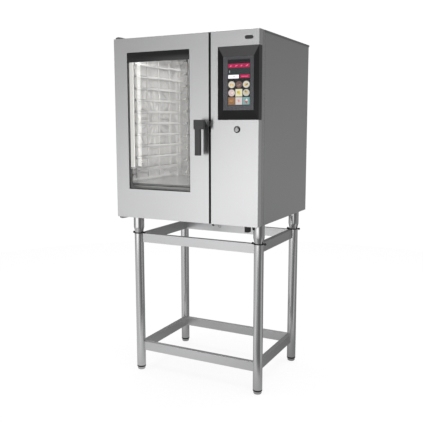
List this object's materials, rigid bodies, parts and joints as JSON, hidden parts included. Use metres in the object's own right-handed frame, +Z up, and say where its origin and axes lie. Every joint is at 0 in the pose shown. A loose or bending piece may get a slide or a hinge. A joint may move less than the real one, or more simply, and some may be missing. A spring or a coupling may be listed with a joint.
{
  "type": "combi steamer oven",
  "caption": "Upright combi steamer oven with a left-hinged glazed door, lever handle, recessed touch screen and dial, on an open tubular stand.",
  "frame": {"origin": "on the floor, under the middle of the whole object's box", "axes": "+Z up, +Y from the front to the back, +X to the viewer's right when facing the front"},
  "size_m": [0.934, 0.9, 2.123],
  "materials": {
    "casing_steel": "fine brushed stainless sheet",
    "front_steel": "fine brushed stainless sheet",
    "stand_steel": "satin stainless tube and channel",
    "cavity_steel": "smooth bright stainless",
    "rack_wire": "polished stainless rod",
    "plain_steel": "plain steel",
    "dark_metal": "dark satin",
    "turned_metal": "turned face",
    "gloss_black": "glossy black",
    "screen_glass": "dark glossy glass",
    "circuit_board": "printed circuit board",
    "dark_badge": "plain dark plate with no mark",
    "black_rubber": "black silicone",
    "black_plastic": "moulded black plastic",
    "handle_plastic": "satin dark grey moulding",
    "insulation_wool": "mineral wool board",
    "motor_casting": "cast motor housing",
    "brass_fitting": "plain brass",
    "clear_glass": "clear heat-treated glass",
    "lamp_diffuser": "white lamp diffuser"
  },
  "bodies": {
    "oven": {"chassis_base": "casing_steel", "left_side_panel": "casing_steel", "right_side_panel": "casing_steel", "top_cover": "casing_steel", "rear_panel": "casing_steel", "front_frame": "casing_steel", "panel_frame": "casing_steel", "control_fascia": "front_steel", "display_bezel": "gloss_black", "touch_glass": "screen_glass", "display_module": "circuit_board", "gap_seal": "black_rubber", "latch_striker": "plain_steel", "top_hinge_bracket": "plain_steel", "bottom_hinge_bracket": "plain_steel", "badge_plate": "dark_badge", "dial_ring": "dark_metal", "oven_feet": "stand_steel", "foot_flanges": "dark_metal", "front_left_leg": "stand_steel", "front_right_leg": "stand_steel", "rear_left_leg": "stand_steel", "rear_right_leg": "stand_steel", "upper_cross_rails": "stand_steel", "upper_side_rails": "stand_steel", "lower_cross_rails": "stand_steel", "lower_side_rails": "stand_steel", "cavity_liner": "cavity_steel", "cavity_insulation": "insulation_wool", "cavity_gasket": "black_rubber", "air_baffle": "cavity_steel", "heating_element": "dark_metal", "fan_motor": "motor_casting", "rack_posts": "rack_wire", "left_rack": "rack_wire", "right_rack": "rack_wire", "steam_generator": "plain_steel", "power_tray": "plain_steel", "drain_pipe": "plain_steel", "exhaust_pipes": "plain_steel", "water_inlets": "brass_fitting", "cable_gland": "black_plastic", "underside_fittings": "black_plastic"},
    "door": {"door_shell": "front_steel", "door_inner_frame": "cavity_steel", "outer_glass": "clear_glass", "inner_glass": "clear_glass", "light_bar": "lamp_diffuser", "door_drip_rail": "casing_steel", "door_bushes": "plain_steel"},
    "handle": {"handle_lever": "handle_plastic", "handle_spindle": "plain_steel"},
    "dial_button": {"dial_stem": "plain_steel"},
    "dial_cap": {"dial_knob": "turned_metal"},
    "fan": {"fan_wheel": "cavity_steel"},
    "front_left_foot": {"front_left_leveller": "dark_metal"},
    "front_right_foot": {"front_right_leveller": "dark_metal"},
    "rear_left_foot": {"rear_left_leveller": "dark_metal"},
    "rear_right_foot": {"rear_right_leveller": "dark_metal"}
  },
  "joints": [
    {"name": "door_hinge", "type": "hinge", "parent": "oven", "child": "door", "pos_m": [-0.4455, -0.37, 1.55], "axis": [0, 0, -1], "range_deg": [0, 125]},
    {"name": "handle_turn", "type": "hinge", "parent": "door", "child": "handle", "pos_m": [0.1335, -0.39, 1.585], "axis": [0, 1, 0], "range_deg": [0, 90]},
    {"name": "dial_push", "type": "slide", "parent": "oven", "child": "dial_button", "axis": [0, 1, 0], "range_m": [0, 0.002], "stiffness_N_per_m": 900, "springref_m": -0.002},
    {"name": "dial_turn", "type": "hinge", "parent": "dial_button", "child": "dial_cap", "pos_m": [0.3395, -0.39, 1.5575], "axis": [0, -1, 0], "continuous": true},
    {"name": "fan_spin", "type": "hinge", "parent": "oven", "child": "fan", "pos_m": [0.07, -0.025, 1.622], "axis": [1, 0, 0], "continuous": true},
    {"name": "front_left_level", "type": "slide", "parent": "oven", "child": "front_left_foot", "axis": [0, 0, -1], "range_m": [0, 0.025]},
    {"name": "front_right_level", "type": "slide", "parent": "oven", "child": "front_right_foot", "axis": [0, 0, -1], "range_m": [0, 0.025]},
    {"name": "rear_left_level", "type": "slide", "parent": "oven", "child": "rear_left_foot", "axis": [0, 0, -1], "range_m": [0, 0.025]},
    {"name": "rear_right_level", "type": "slide", "parent": "oven", "child": "rear_right_foot", "axis": [0, 0, -1], "range_m": [0, 0.025]}
  ]
}
